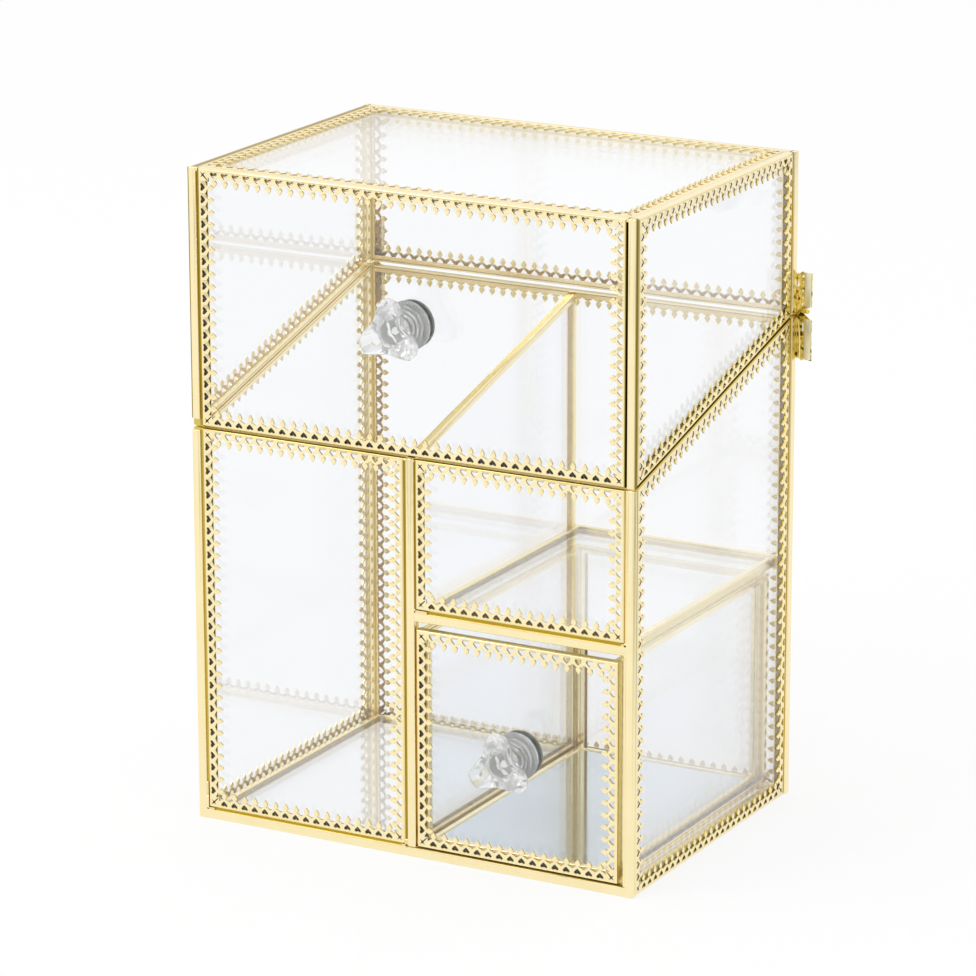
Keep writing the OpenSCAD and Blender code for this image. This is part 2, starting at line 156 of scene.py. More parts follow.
# One square softbox over the left front corner, turned down onto the box
key_light = bpy.data.objects.new("key_light", bpy.data.lights.new("key_light", "AREA"))
key_light.data.size = 1.1
key_light.data.energy = 9
key_light.location = (-0.9, -1.3, 1.5)
key_light.rotation_euler = Euler(np.radians((45, 0, -35)))
bpy.context.scene.collection.objects.link(key_light)


def blank_finish(name):
    """A new material without any nodes, and the Wire that its nodes are made with."""
    made = bpy.data.materials.new(name)
    made.use_nodes = True
    made.node_tree.nodes.clear()
    return made, Wire(made.node_tree)


# The sweep's half width, and the distances from the middle between which the flags come to
# bear on what it mirrors: at the foot of the box it is as bright in every direction
SWEEP, LEVEL_TO, DIMMED_FROM = 6.0, 0.2, 0.75
floor_mesh = bpy.data.meshes.new("floor")
floor_mesh.from_pydata([(-SWEEP, -SWEEP, 0), (SWEEP, -SWEEP, 0), (SWEEP, SWEEP, 0), (-SWEEP, SWEEP, 0)],
                       [], [(0, 1, 2, 3)])
floor = bpy.data.objects.new("floor", floor_mesh)
bpy.context.scene.collection.objects.link(floor)
paper, page = blank_finish("white_sweep")
eye = page.node("ShaderNodeLightPath", output="Is Camera Ray")
through = page.node("ShaderNodeLightPath", output="Is Transmission Ray")
gloss = page.node("ShaderNodeLightPath", output="Is Glossy Ray")
spot = page.node("ShaderNodeTexCoord", output="Object")
away = page.node("ShaderNodeVectorMath", {"operation": "NORMALIZE"}, {0: spot})
distance = page.node("ShaderNodeVectorMath", {"operation": "LENGTH"}, {0: spot}, "Value")
beyond = page.node("ShaderNodeMapRange", sockets={0: distance, 1: LEVEL_TO, 2: DIMMED_FROM})
glow = page.math("MINIMUM", eye + through + gloss * (1 + (dimmed(page, away) - 1) * beyond), 1.0)
page.node("ShaderNodeOutputMaterial", sockets={0: page.node("ShaderNodeMixShader", sockets={
    0: page.math("MINIMUM", eye + through + gloss, 1.0) * 0.8,
    1: page.node("ShaderNodeBsdfDiffuse", sockets={0: (0.93, 0.93, 0.93, 1)}),
    2: page.node("ShaderNodeEmission", sockets={0: (1, 1, 1, 1), 1: glow})})})
floor.data.materials.append(paper)
floor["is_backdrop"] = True

# ---------------------------------------------------------------------------------------
# Folded brass edging: each sheet of glass sits in a ring of thin brass bent to a U. The
# inner side of the fold is plain with one pressed line, the outer side is lace: a row of
# pierced hearts under small finials, with a four-pointed star in every mitred corner.
# ---------------------------------------------------------------------------------------

# In millimetres, from the middle of the foot: the box, and the slanted joint of its lid
HALF_W, HALF_D, TOP = 115.0, 82.0, 313.0
FRONT_JOINT, BACK_JOINT, JOINT_GAP = 191.0, 236.0, 1.0
# The brass sheet and the glass, how far a fold's plain side laps the glass, and a whole pane
BRASS_T, GLASS_T, FLANGE = 0.6, 3.0, 3.0
PANE_T = GLASS_T + 2 * BRASS_T
# The inner planes of the walls at the sides, and of those at the front and back
WALL_X, WALL_Y = 110.4, 77.4
# The strips soldered on at the front, and the groove left between a strip and a pane
STRIP_W, STRIP_T, GROOVE = 5.0, 2.2, 0.5
STRIP_BACK = STRIP_T - HALF_D
# Where the panes stop: the front and back ones in x, the side ones in y, the base's at the foot
FRONT_X, BACK_X, SIDE_FRONT, SIDE_BACK, FOOT = 109.5, 112.3, -79.3, 76.5, 0.2
# Half the width between the two lower front panes, and the strip under the shelf's top
MIDDLE_X, SHELF_Z = 3.0, 114.0
SHELF_TOP = SHELF_Z + STRIP_W
DRAWER_LEFT, DRAWER_RIGHT, DRAWER_LOW, DRAWER_TOP, DRAWER_BACK = 3.2, 106.8, 5.3, 110.3, 74.0


def joint_height(y):
    """Height of the middle of the slanted joint between lid and base at depth y."""
    return FRONT_JOINT + (BACK_JOINT - FRONT_JOINT) * (y + HALF_D) / (2 * HALF_D)


def lid_edge(y):
    """Height of the lid's lower edge at depth y, half the gap above the joint."""
    return joint_height(y) + JOINT_GAP / 2


def base_edge(y):
    """Height of the base's upper edge at depth y, half the gap below the joint."""
    return joint_height(y) - JOINT_GAP / 2


def box_outline(left, right, low, high):
    """The four corners of a square-cornered pane, anticlockwise."""
    return [(left, low), (right, low), (right, high), (left, high)]


def flipped(outline):
    """The same pane seen from its other side."""
    return [(-x, y) for x, y in outline[::-1]]


lid_z, base_z = lid_edge(-HALF_D), base_edge(-HALF_D)
lid_side = [(SIDE_FRONT, lid_edge(SIDE_FRONT)), (SIDE_BACK, lid_edge(SIDE_BACK)),
            (SIDE_BACK, TOP), (SIDE_FRONT, TOP)]
base_side = [(SIDE_FRONT, FOOT), (SIDE_BACK, FOOT),
             (SIDE_BACK, base_edge(SIDE_BACK)), (SIDE_FRONT, base_edge(SIDE_FRONT))]
divider_side = [(STRIP_BACK, STRIP_W), (WALL_Y, STRIP_W), (WALL_Y, joint_height(WALL_Y) - JOINT_GAP),
                (STRIP_BACK, joint_height(STRIP_BACK) - JOINT_GAP)]
drawer_side = box_outline(-WALL_Y, DRAWER_BACK, DRAWER_LOW, DRAWER_TOP)
lid_back = box_outline(-BACK_X, BACK_X, lid_edge(WALL_Y + PANE_T), TOP)
base_back = box_outline(-BACK_X, BACK_X, FOOT, base_edge(WALL_Y))
base_front_left = box_outline(-FRONT_X, -MIDDLE_X, STRIP_W + GROOVE, base_z)
base_front_right = box_outline(MIDDLE_X, FRONT_X, SHELF_TOP + GROOVE, base_z)
drawer_front = box_outline(DRAWER_LEFT, DRAWER_RIGHT, DRAWER_LOW, DRAWER_TOP)
drawer_back = box_outline(PANE_T - DRAWER_RIGHT, -PANE_T - DRAWER_LEFT, DRAWER_LOW, DRAWER_TOP)
drawer_floor = box_outline(DRAWER_LEFT + PANE_T, DRAWER_RIGHT - PANE_T, -WALL_Y, DRAWER_BACK - PANE_T)

# A pane's own X, Y and Z, which points outward, as directions in the box's frame
FLAT = ((1, 0, 0), (0, 1, 0), (0, 0, 1))
FRONT = ((1, 0, 0), (0, 0, 1), (0, -1, 0))
BACK = ((-1, 0, 0), (0, 0, 1), (0, 1, 0))
RIGHT = ((0, 1, 0), (0, 0, 1), (1, 0, 0))
LEFT = ((0, -1, 0), (0, 0, 1), (-1, 0, 0))
# Each pane: its outline, its directions, its origin on the face that its own Z points away
# from, and whether it has lace
panes = {
    "lid_top": (box_outline(-WALL_X, WALL_X, -WALL_Y, WALL_Y), FLAT, (0, 0, TOP - PANE_T), True),
    "lid_front": (box_outline(-FRONT_X, FRONT_X, lid_z, TOP), FRONT, (0, -WALL_Y, 0), True),
    "lid_right": (lid_side, RIGHT, (WALL_X, 0, 0), True),
    "lid_left": (flipped(lid_side), LEFT, (-WALL_X, 0, 0), True),
    "lid_back": (lid_back, BACK, (0, WALL_Y, 0), True),
    "base_front_left": (base_front_left, FRONT, (0, -WALL_Y, 0), True),
    "base_front_right": (base_front_right, FRONT, (0, -WALL_Y, 0), True),
    "base_right": (base_side, RIGHT, (WALL_X, 0, 0), True),
    "base_left": (flipped(base_side), LEFT, (-WALL_X, 0, 0), True),
    "base_back": (base_back, BACK, (0, WALL_Y, 0), True),
    "base_floor": (box_outline(-WALL_X, WALL_X, STRIP_BACK, WALL_Y), FLAT, (0, 0, STRIP_W - PANE_T), False),
    "divider": (divider_side, RIGHT, (-PANE_T / 2, 0, 0), False),
    "shelf": (box_outline(PANE_T / 2, WALL_X, STRIP_BACK, WALL_Y), FLAT, (0, 0, SHELF_TOP - PANE_T), False),
    "drawer_front": (drawer_front, FRONT, (0, -WALL_Y, 0), True),
    "drawer_right": (drawer_side, RIGHT, (DRAWER_RIGHT - PANE_T, 0, 0), False),
    "drawer_left": (flipped(drawer_side), LEFT, (DRAWER_LEFT + PANE_T, 0, 0), False),
    "drawer_back": (drawer_back, BACK, (0, DRAWER_BACK - PANE_T, 0), False),
    "drawer_floor": (drawer_floor, FLAT, (0, 0, DRAWER_LOW), False),
}


def body_of(name):
    """The moving body that a piece belongs to, from the first word of its name."""
    return name.split("_")[0] if name.split("_")[0] in ("lid", "drawer") else "base"


def principled(tree, sockets):
    """Closes a finish: one Principled shader with these sockets, led to the output."""
    shader = tree.node("ShaderNodeBsdfPrincipled", sockets=sockets)
    tree.node("ShaderNodeOutputMaterial", sockets={0: shader})


# Four tones of painted shade on brass, by the painted shade attribute, from pale gold in a shallow recess
# to black
PAINTED_SHADE_TONES = [(0.25, (0.76, 0.6, 0.16, 1)), (0.45, (0.46, 0.33, 0.04, 1)),
           (0.8, (0.1, 0.065, 0.01, 1)), (1.0, (0.02, 0.013, 0.003, 1))]


def brass_finish(name, colour, roughness, dull, wave):
    """Polished plate: a metal whose tone and polish wander slowly over the object, as a worn-in
    plating does, from its colour to that times dull, over a sheet with ripples of scale wave.
    The painted shade attribute takes a face from bright plating, 0, to dark painted shade with a rougher
    polish, 1."""
    made, metal = blank_finish(name)
    place = metal.node("ShaderNodeTexCoord", output="Object")
    cloud = metal.node("ShaderNodeTexNoise", sockets={"Vector": place, "Scale": 60.0, "Detail": 3.0})
    ripple = metal.node("ShaderNodeTexNoise", sockets={"Vector": place, "Scale": wave, "Detail": 2.0})
    patina = metal.node("ShaderNodeAttribute", {"attribute_name": "patina"}, output="Fac")
    tone = metal.node("ShaderNodeMix", {"data_type": "RGBA"},
                      {0: cloud, 6: (*colour, 1), 7: (*np.multiply(colour, dull), 1)}, output=2)
    deep = metal.node("ShaderNodeValToRGB", {"stops": PAINTED_SHADE_TONES}, {0: patina})
    painted_shade_colour = metal.node("ShaderNodeMix", {"data_type": "RGBA"},
                      {0: metal.math("MINIMUM", patina * 4, 1.0), 6: tone, 7: deep}, output=2)
    relief = metal.node("ShaderNodeBump", sockets={
        "Strength": 0.35, "Distance": 0.0002, "Height": ripple})
    principled(metal, {"Base Color": painted_shade_colour, "Metallic": 1.0, "Normal": relief,
                       "Roughness": cloud * 0.12 + patina * 0.3 + roughness})
    return made


brass = brass_finish("pale_gold_brass", (1.0, 0.885, 0.56), 0.1, (0.97, 0.92, 0.8), 240.0)


def lay_mesh(name, part, replaced, finish, crease=30):
    """A piece from a part in millimetres: its points, its faces as one array for each number
    of corners, and their painted shade. Edges that bend more than crease degrees stay sharp."""
    points, faces, patina = part
    mesh = bpy.data.meshes.new(name)
    corners = np.concatenate([alike.ravel() for alike in faces]).astype(np.int32)
    counts = np.concatenate([np.full(len(alike), alike.shape[1]) for alike in faces])
    mesh.vertices.add(len(points))
    mesh.vertices.foreach_set("co", (np.asarray(points) * 0.001).astype(np.float32).ravel())
    mesh.loops.add(len(corners))
    mesh.loops.foreach_set("vertex_index", corners)
    mesh.polygons.add(len(counts))
    mesh.polygons.foreach_set("loop_start", (np.cumsum(counts) - counts).astype(np.int32))
    mesh.attributes.new("patina", "FLOAT", "FACE").data.foreach_set(
        "value", np.concatenate(patina).astype(np.float32))
    mesh.update(calc_edges=True)
    mesh.validate()
    mesh.polygons.foreach_set("use_smooth", np.ones(len(mesh.polygons), bool))
    mesh.set_sharp_from_angle(angle=np.radians(crease))
    mesh.materials.append(finish)
    made = bpy.data.objects.new(name, mesh)
    bpy.context.scene.collection.objects.link(made)
    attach(made, body_of(name))
    if replaced:
        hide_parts(replaced)


def gathered(parts):
    """Several parts joined to one, with the numbers in their faces moved on."""
    starts = np.cumsum([0] + [len(part[0]) for part in parts])
    return (np.concatenate([part[0] for part in parts]),
            [alike + start for start, part in zip(starts, parts) for alike in part[1]],
            [shade for part in parts for shade in part[2]])


def frame_of(outline):
    """For each corner of a pane: the side that starts there, as its direction and inward
    normal, and the mitre, the way a point moves from the corner for each mm of depth."""
    corner = np.array(outline, float)
    along = np.roll(corner, -1, 0) - corner
    length = np.linalg.norm(along, axis=1)
    along /= length[:, None]
    inward = np.stack([-along[:, 1], along[:, 0]], 1)
    before = np.roll(inward, 1, 0)
    mitre = (inward + before) / (1 + (inward * before).sum(1))[:, None]
    return corner, along, inward, mitre, length


def carried(outline, profile, patina, closed):
    """A profile of (depth from the edge, height) carried round the pane: point k at corner i
    is corner + mitre * depth, so the strips meet in true mitres. Its painted shade has one
    number for each strip, or a row of them for each side."""
    corner, along, inward, mitre, length = frame_of(outline)
    depth, height = np.array(profile, float).T
    ring = corner[:, None] + mitre[:, None] * depth[None, :, None]
    points = np.concatenate([ring, np.broadcast_to(height[None, :, None], ring.shape[:2] + (1,))], 2)
    sides, across = points.shape[:2]
    number = np.arange(sides * across).reshape(sides, across)
    onward = np.roll(number, -1, 0)
    quads = np.stack([number, np.roll(number, -1, 1), np.roll(onward, -1, 1), onward], 2)
    strips = across if closed else across - 1
    shade = np.broadcast_to(patina, (sides, strips))
    return points.reshape(-1, 3), [quads[:, :strips].reshape(-1, 4)], [shade.ravel()]


# The depths from the fold's edge at which the lace starts and its solid band ends, the length
# of a unit, and how far the corner pieces run along a side
LACE_START, BAND, LACE_PITCH, CORNER_RUN = 1.0, 3.9, 5.7, 5.75
# The right half of one unit as (along the side, in from the fold's edge, height): its outline
# from the fold up round the arch and the finial to the tip, and the outline of its heart
half_unit = np.array([
    (0, LACE_START, 0), (1.6, LACE_START, 0), (2.85, LACE_START, 0), (2.85, BAND, -0.1),
    (1.9, 4.45, 0.02), (0.95, 5.0, 0.08), (0.5, 5.25, 0.1), (1.15, 5.55, 0.02), (1.38, 6.2, 0),
    (1.02, 7.15, 0), (0.42, 7.95, -0.05), (0, 8.5, -0.1)])
half_heart = np.array([(0, 1.9, 0.2), (0.75, 1.5, 0.1), (1.4, 1.5, 0.1), (1.8, 1.9, 0.14),
                       (1.62, 2.6, 0.18), (0.85, 3.45, 0.24), (0, 4.2, 0.26)])
FINIAL_RIDGE = (0, 6.0, 0.6)


def both_halves(half):
    """A closed loop from its right half, whose first and last points lie on the middle."""
    return np.concatenate([half, half[-2:0:-1] * (-1, 1, 1)])


unit_loop, heart_loop = both_halves(half_unit), both_halves(half_heart)
# A unit's points are its outline, then its heart from number h on, then the ridge of its finial
h = len(unit_loop)
ridge = h + len(heart_loop)
right_faces = [[0, 1, h + 1, h], [1, 2, h + 3, h + 2, h + 1], [2, 3, h + 4, h + 3], [3, 4, h + 5, h + 4],
               [4, 5, h + 6, h + 5], [5, 6, h + 6]] + [[ridge, k, k + 1] for k in range(6, 11)]
mirror_image = {k: -k % h for k in range(h)}
mirror_image |= {k: h + (h - k) % len(heart_loop) for k in range(h, ridge)} | {ridge: ridge}
left_faces = [[mirror_image[k] for k in face[::-1]] for face in right_faces]
unit_faces = right_faces + left_faces + [[h + 6, 6, ridge, h - 6]]


def sheet_metal(points, faces, thickness, underside, edge):
    """A plate from the points and faces of its upper side: the underside is the same moved
    down and turned over, and a wall joins the two along every edge that only one face uses.
    The underside takes the painted shade underside, the walls the painted shade edge, the top none."""
    upper = np.asarray(points, float)
    n = len(upper)
    edges = {(a, b) for face in faces for a, b in zip(face, face[1:] + face[:1])}
    walls = np.array([(b, a, a + n, b + n) for a, b in edges if (b, a) not in edges])
    sized = {}
    for face in faces:
        sized.setdefault(len(face), []).append(face)
    tops = [np.array(alike) for alike in sized.values()]
    undersides = [top[:, ::-1] + n for top in tops]
    shades = [np.zeros(len(top)) for top in tops] + [np.full(len(top), underside) for top in tops]
    return (np.concatenate([upper, upper - (0, 0, thickness)]), tops + undersides + [walls],
            shades + [np.full(len(walls), edge)])


# The unit's underside and edges carry painted shade, 0.5 and 0.4, for the shadow in and round its hearts
unit_points, unit_plates, unit_shades = sheet_metal(
    np.concatenate([unit_loop, heart_loop, [FINIAL_RIDGE]]), unit_faces, BRASS_T, 0.5, 0.4)
# the fold and the neighbouring units close the walls at the foot of a unit
foot = np.isin(unit_plates[-1] % (ridge + 1), [0, 1, 2, 3, h - 1, h - 2, h - 3]).all(1)
unit_plates[-1], unit_shades[-1] = unit_plates[-1][~foot], unit_shades[-1][~foot]


def lace_side(start, along, inward, length):
    """One side's row of lace: whole units between the corner pieces, stretched a little so
    that they come out even. Point (s, d) of a unit lies at start + along * s + inward * d."""
    count = int(round((length - 2 * CORNER_RUN) / LACE_PITCH))
    pitch = (length - 2 * CORNER_RUN) / count
    middle = CORNER_RUN + (np.arange(count) + 0.5) * pitch
    s = middle[:, None] + unit_points[None, :, 0] * pitch / LACE_PITCH
    flat = start + s[..., None] * along + unit_points[None, :, 1, None] * inward
    height = np.broadcast_to(unit_points[None, :, 2:], flat.shape[:2] + (1,))
    points = np.concatenate([flat, height], 2)
    step = (np.arange(count) * len(unit_points))[:, None, None]
    plates = [(plate[None] + step).reshape(-1, plate.shape[1]) for plate in unit_plates]
    return points.reshape(-1, 3), plates, [np.tile(shade, count) for shade in unit_shades]


# The corner's star: its middle from the corner along the mitre, and the distance from there and
# the bearing of its tips and notches, 0 towards the corner. A slit takes the fourth tip's place.
STAR_MIDDLE = 4.1
STAR = ((1.8, 0), (0.5, 45), (1.8, 90), (0.5, 135), (0.5, 225), (1.8, 270), (0.5, 315))


def lace_corner(corner, ahead, inward_ahead, behind, inward_behind, mitre):
    """The mitred corner: two halves of a plate round a four-pointed star, with a slit along the
    mitre. at() takes the distance from the corner along its bisector and across it, beside()
    a point at the end of an arm, by its depth from the fold's edge."""
    bisector = mitre / np.linalg.norm(mitre)
    across = np.array([bisector[1], -bisector[0]])

    def at(out, aside, height):
        return (*(corner + bisector * out + across * aside), height)

    def beside(run, run_in, depth, height):
        return (*(corner + run * CORNER_RUN + run_in * depth), height)

    outer = [(*(corner + mitre * LACE_START), 0), beside(ahead, inward_ahead, LACE_START, 0),
             beside(ahead, inward_ahead, BAND, -0.1), at(6.9, 0.95, 0.05), at(8.2, 0.14, 0.05),
             at(8.2, -0.14, 0.05), at(6.9, -0.95, 0.05), beside(behind, inward_behind, BAND, -0.1),
             beside(behind, inward_behind, LACE_START, 0)]
    star = [at(STAR_MIDDLE - reach * np.cos(np.radians(turn)), reach * np.sin(np.radians(turn)), 0.12)
            for reach, turn in STAR]
    halves = [[0, 1, 2, 3, 4, 12, 11, 10, 9], [0, 9, 15, 14, 13, 5, 6, 7, 8]]
    # painted shade under the corner piece and on its edges
    return sheet_metal(outer + star, halves, BRASS_T, 0.5, 0.7)


def lace_ring(outline):
    """The whole lace of one pane: four rows and four corners, on the outer side of the fold."""
    corner, along, inward, mitre, length = frame_of(outline)
    parts = [lace_side(corner[i], along[i], inward[i], length[i]) for i in range(4)]
    parts += [lace_corner(corner[i], along[i], inward[i], -along[i - 1], inward[i - 1], mitre[i])
              for i in range(4)]
    points, faces, patina = gathered(parts)
    return points + (0, 0, PANE_T), faces, patina


# Profiles as (depth from the edge, height over the inner face): the bend on the outer side, the
# lip where that side has no lace, and the wall and inner flange with its pressed line
bend = [(LACE_START, PANE_T), (0.6, PANE_T - 0.08), (0.25, PANE_T - 0.3), (0.06, PANE_T - 0.65),
        (0, PANE_T - 1.0)]
plain_lip = [(FLANGE, PANE_T - BRASS_T), (FLANGE, PANE_T - 0.1), (FLANGE - 0.1, PANE_T)]
inner_flange = [(0, 0.35), (0.03, 0.15), (0.12, 0.05), (0.3, 0), (0.85, 0), (1.0, 0.22), (1.15, 0),
                (FLANGE - 0.1, 0), (FLANGE, 0.1), (FLANGE, BRASS_T), (2.55, BRASS_T), (1.5, BRASS_T),
                (BRASS_T, BRASS_T), (BRASS_T, PANE_T - BRASS_T)]
# Painted shade on the wall of the fold on the bottom, right, top and left side of a pane, where
# it faces a groove, the lid joint or the open. The bend over it takes painted shade growing towards it.
wall_shade = {"lid_front": (0.5, 1.0, 0, 0.25), "lid_right": (0.5, 0.3, 0, 0.2),
              "lid_left": (0.5, 0.2, 0, 0.2), "lid_back": (0.5, 0.2, 0, 0.2),
              "base_front_left": (0.3, 0.2, 0.4, 0.3),
              "base_front_right": (0.45, 0.15, 0.4, 0.3), "base_right": (0.2, 0.3, 0.45, 0.1),
              "base_left": (0.2, 0.2, 0.4, 0.2), "base_back": (0.2, 0.2, 0.4, 0.2),
              "drawer_front": (0.4, 0.28, 0.5, 0.2), "drawer_right": (0.2, 0.3, 0.35, 0.3),
              "lid_top": (0, 0, 0, 0), "shelf": (0.3, 0.1, 0.1, 0.1)}
bend_share = np.array((0.1, 0.5, 1.0, 1.0))
# Painted shade on the inside of the flange, in three strips from its lip to the fold, on each side
# of a pane: it stands for the shadow seen through the hearts. The last strip's number goes for the fold's
# inside too.
through_hearts = {"bottom": (1.0, 1.0, 1.0), "right": (0.25, 0.4, 0.45), "top": (0.35, 0.4, 0.4),
                  "left": (0.0, 1.0, 1.0)}
LEFT_EDGE = list(through_hearts).index("left")
# That painted shade, and the painted shade on the lace itself, times a share for each pane
painted_shade_share = {"lid_front": 1.0, "lid_right": 0.9, "base_front_left": 0.8, "base_front_right": 0.6,
            "base_right": 0.9, "drawer_front": 0.85, "lid_top": 0.05, "lid_left": 0.2, "lid_back": 0.25}
OTHER_PAINTED_SHADE_SHARE, OTHER_WALL = 0.4, (0.2, 0.2, 0.2, 0.2)
# Painted shade on the inner flange: only on the two slopes of its pressed line
flange_shade = np.ones((4, 1)) * (0, 0, 0, 0, 0.5, 0.5, 0, 0, 0)
for name, (outline, (own_x, own_y, own_z), origin, laced) in panes.items():
    depth = painted_shade_share.get(name, OTHER_PAINTED_SHADE_SHARE)
    wall = np.array(wall_shade.get(name, OTHER_WALL))[:, None]
    inside = np.array([(*strips, strips[-1], strips[-1]) for strips in through_hearts.values()]) * depth
    # a right-hand pane's left edge shows only a little painted shade through its hearts
    if name.endswith("_right") and not name.startswith("base_front"):
        inside[LEFT_EDGE] = 0.2
    shade = np.hstack([wall * bend_share * (laced and name != "drawer_front"), wall, flange_shade, inside])
    if laced:
        profile = bend + inner_flange + [(LACE_START, PANE_T - BRASS_T)]
        lace, plates, dark = lace_ring(outline)
        parts = [carried(outline, profile, shade, False), (lace, plates, [rows * depth for rows in dark])]
    else:
        profile = plain_lip + bend + inner_flange
        parts = [carried(outline, profile, np.hstack([np.zeros((4, len(plain_lip))), shade]), True)]
    points, faces, patina = gathered(parts)
    points = points @ np.array([own_x, own_y, own_z], float) + np.array(origin, float)
    lay_mesh(f"{name}_{'lace' if laced else 'channel'}", (points, faces, patina), f"{name}_edging", brass)

# ---------------------------------------------------------------------------------------
# Sheet glass: clear 3 mm float glass, cut square and held only by the folds round it. It
# passes nearly all the light and shows the room in it at a grazing look.
# ---------------------------------------------------------------------------------------


def glass_finish(name, tint):
    """Thin clear glass with two faces: light goes straight through with a faint tint, and the
    share that it mirrors grows from 6% face on to nearly all of it along the surface."""
    made, sheet = blank_finish(name)
    facing = sheet.node("ShaderNodeLayerWeight", sockets={"Blend": 0.5}, output="Facing")
    place = sheet.node("ShaderNodeTexCoord", output="Object")
    ripple = sheet.node("ShaderNodeTexNoise", sockets={"Vector": place, "Scale": 12.0, "Detail": 1.0})
    relief = sheet.node("ShaderNodeBump", sockets={
        "Strength": 0.02, "Distance": 0.002, "Height": ripple})
    sheet.node("ShaderNodeOutputMaterial", sockets={0: sheet.node("ShaderNodeMixShader", sockets={
        0: facing ** 3.2 * 0.9 + 0.06,
        1: sheet.node("ShaderNodeBsdfTransparent", sockets={0: (*tint, 1)}),
        2: sheet.node("ShaderNodeBsdfPrincipled", sockets={
            "Base Color": (1, 1, 1, 1), "Metallic": 1.0, "Roughness": 0.02, "Normal": relief})})})
    return made


def refinish(name, finish):
    """Gives a CAD node its finish."""
    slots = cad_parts[name].data.materials
    slots.clear()
    slots.append(finish)


clear_glass = glass_finish("clear_float_glass", (0.985, 0.988, 0.993))
for name in panes:
    refinish(name + "_glass", clear_glass)

# ---------------------------------------------------------------------------------------
# Posts and rails: rolled brass strip soldered over the corners and along the front. Each has
# a face with a slight crown, and a groove is left between it and the lace beside it, its floor
# and the gaps near it dark with painted shade.
# ---------------------------------------------------------------------------------------


def crowned(left, right, face, back, crown=0.14):
    """Section of a strip with its face towards -b: at s from -1 to 1 across it the face lies at
    face + crown * s**2 + 0.35 * s**18, an arch with eased edges; then straight to the back."""
    s = np.sin(np.linspace(-np.pi / 2, np.pi / 2, 15))
    arch = np.column_stack([(left + right) / 2 + (right - left) / 2 * s,
                            face + crown * s ** 2 + 0.35 * s ** 18])
    return np.concatenate([arch, [(right, back), (left, back)]])


def skin(rings, sides):
    """The faces of a closed skin over rings of points, sides to a ring: quads between each ring
    and the next, then a cap over the first ring and one over the last."""
    number = np.arange(rings * sides).reshape(rings, sides)
    beside = np.roll(number, -1, 1)
    quads = np.stack([number[:-1], beside[:-1], beside[1:], number[1:]], 2).reshape(-1, 4)
    return [quads, np.array([number[0, ::-1], number[-1]])]


# How long the eased ends of a bar are, and how much they are drawn in
EASED = 0.12


def beam(profile, low, high, patina=0.0):
    """A straight bar: its section at four heights, and at both ends drawn in a little towards
    its middle. patina is one number, or one for each side of the section."""
    section = np.array(profile, float)
    inward = section.mean(0) - section
    eased = section + EASED * inward / np.linalg.norm(inward, axis=1)[:, None]
    sides = len(section)
    rings = np.array([eased, section, section, eased])
    heights = np.repeat([low, low + EASED, high - EASED, high], sides)
    shade = np.broadcast_to(patina, (3, sides)).ravel()
    return (np.column_stack([rings.reshape(-1, 2), heights]), skin(4, sides),
            [shade, np.full(2, np.mean(patina))])


def block(left, right, front, back):
    """The section of a plain rectangular bar."""
    return [(left, front), (right, front), (right, back), (left, back)]


def laid(part, turn):
    """A part turned by the matrix whose rows are the new directions of its a, b and c."""
    return part[0] @ np.array(turn, float), part[1], part[2]


def mirrored(part, signs):
    """A part's mirror image: its points times the signs, and its faces turned over."""
    return part[0] * signs, [alike[:, ::-1] for alike in part[1]], part[2]


LEFT_HAND = (-1, 1, 1)
# The depths of a groove's floor, of a shim's face, and of the solder beside a post and a rail
GROOVE_FLOOR, SHIM_FRONT = 1.2 - HALF_D, 1.0 - HALF_D
POST_FILLET, RAIL_FILLET = 0.25 - HALF_D, 0.3 - HALF_D


def grooved(left, right, low, high, face, open_low, open_high, dark=0.5):
    """The floor of a groove, dark with painted shade, and at each end that is open the solder
    that fills it up to face over that length, with a little painted shade."""
    parts = [beam(block(left, right, GROOVE_FLOOR, STRIP_BACK), low, high, dark)]
    if open_low > 0:
        parts.append(beam(block(left, right, face, STRIP_BACK), low, low + open_low, 0.1))
    if open_high > 0:
        parts.append(beam(block(left, right, face, STRIP_BACK), high - open_high, high, 0.1))
    return parts


# The front corner strip: a crowned face on the front, then the corner's rounding and, on the
# side, a step back to the recess in front of the side pane
RECESS_X = 113.4
front_section = np.concatenate([
    crowned(WALL_X, 114.3, -HALF_D, -81.1)[:15],
    [(HALF_W, -81.2), (HALF_W, -80.7), (RECESS_X, -80.6), (RECESS_X, SIDE_FRONT), (110.3, SIDE_FRONT),
     (110.3, STRIP_BACK), (WALL_X, STRIP_BACK)]])
# painted shade on the strip's corner, side and recess: more on the lid's strips, little on the base's
rounding = {"lid": [0.6, 0.6, 0.6, 0.7, 0.4, 0.4, 0.4, 0.25], "base": [0, 0, 0, 0.3, 0.3, 0.3, 0.3, 0.2]}
bright_face = [0] * 14
# On the left the strips stop short of the joint, and a shim of brass shows there
short_of_joint = {"lid_left": 3.2, "base_left": 1.2}
# Painted shade on the floor of the groove beside each front strip
groove_dark = {"lid_right": 1.0, "lid_left": 0.45, "base_right": 0.12, "base_left": 0.3}
# The groove's two sides, how much of it solder fills at the foot of the left one, and the
# section of a shim
GROOVE_X = (FRONT_X, 110.7)
SOLDER = 6.0
shim = block(110.6, 114.2, SHIM_FRONT, STRIP_BACK)
# the strip on the side of a back corner, its face towards the side
back_section = crowned(WALL_Y, HALF_D, -HALF_W, -112.8)
QUARTER = ((0, 1, 0), (-1, 0, 0), (0, 0, 1))


